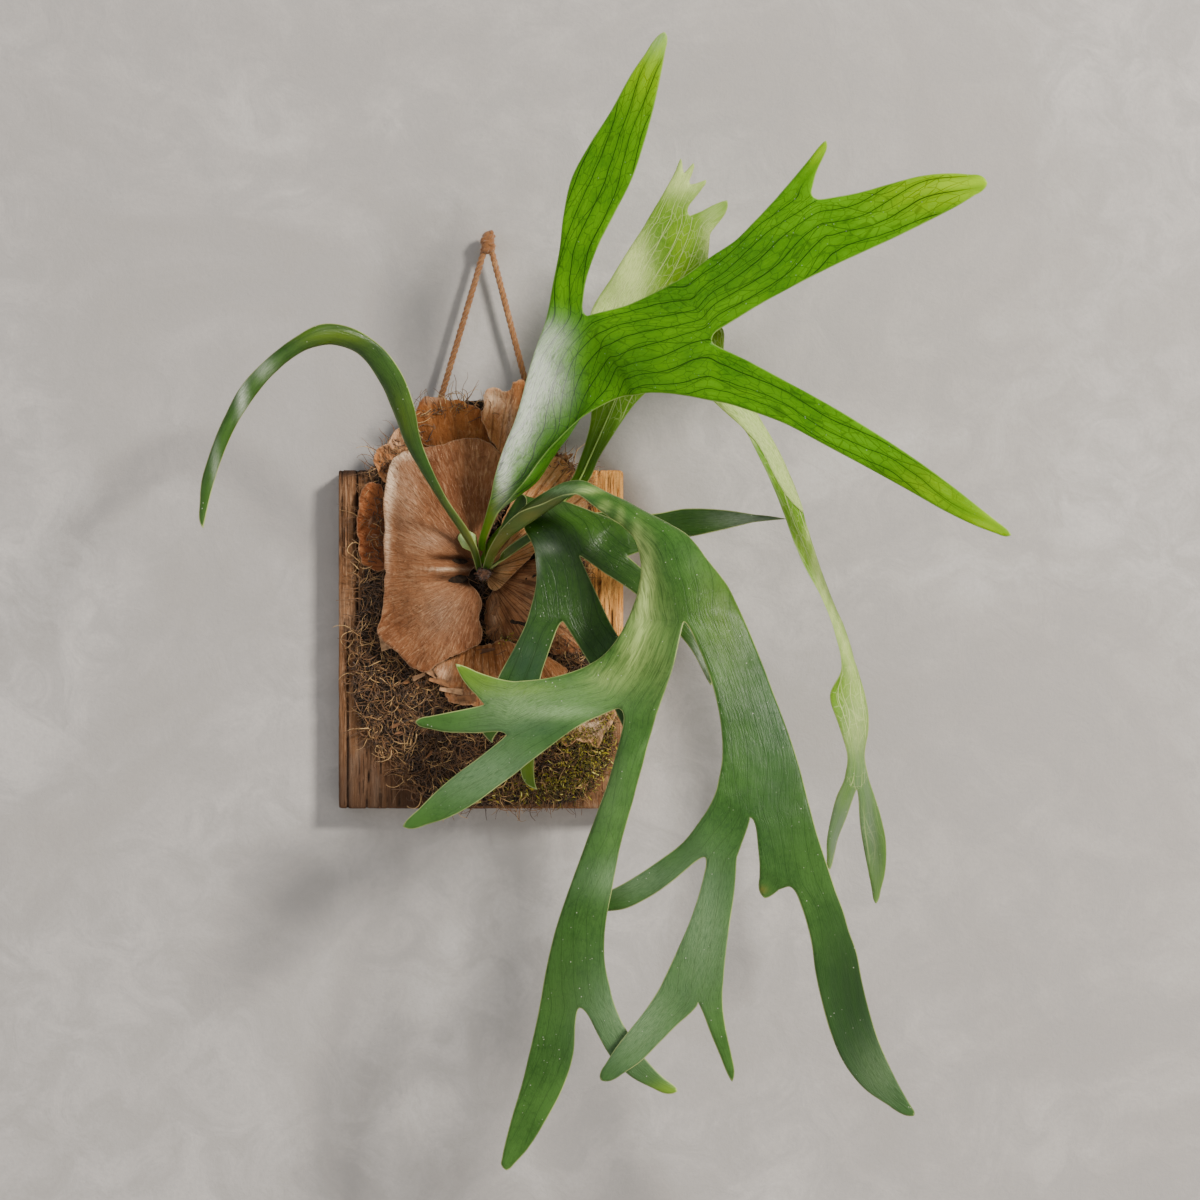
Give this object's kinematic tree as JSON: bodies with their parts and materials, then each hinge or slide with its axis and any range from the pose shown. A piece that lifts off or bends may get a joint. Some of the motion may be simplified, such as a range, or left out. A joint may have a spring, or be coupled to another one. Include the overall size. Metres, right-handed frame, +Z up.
{
  "type": "mounted staghorn fern",
  "caption": "Antler-leaved epiphytic fern with papery shield fronds, grown onto a weathered board that hangs on a wall by a rope.",
  "frame": {"origin": "middle of the board's back face, which rests on the wall", "axes": "+Z up along the hung board, +Y into the wall, +X to the right as one looks at the plant"},
  "size_m": [0.5639, 0.2296, 0.7908],
  "materials": {
    "weathered_wood": "weathered, cracked, unpainted softwood",
    "roots": "matted dark root fibres with moss",
    "rhizome": "dark scaly bud",
    "dry_shield": "dry, papery, velvety shield frond",
    "amber_shield": "thin dry shield frond that lets the light through",
    "bright_leaf": "fresh leaf, satin, veined",
    "deep_leaf": "dark leaf, satin",
    "grey_leaf": "leaf with a grey bloom of fine hairs",
    "jute_rope": "three-strand jute"
  },
  "bodies": {
    "root": {"board": "weathered_wood", "root_mound": "roots", "rhizome": "rhizome", "shield_back_top": "amber_shield", "shield_top_right": "dry_shield", "shield_left_upper": "dry_shield", "shield_left_small": "amber_shield", "shield_right_lower": "dry_shield", "shield_upper_right": "dry_shield", "shield_right_upper": "dry_shield", "shield_bottom": "dry_shield", "shield_bottom_right": "dry_shield", "shield_main": "dry_shield", "frond_up": "bright_leaf", "frond_back": "bright_leaf", "frond_left": "deep_leaf", "frond_front": "grey_leaf", "frond_middle": "deep_leaf", "frond_low": "deep_leaf", "frond_young": "grey_leaf", "rope_left": "jute_rope", "rope_right": "jute_rope", "knot": "jute_rope"}
  },
  "joints": []
}
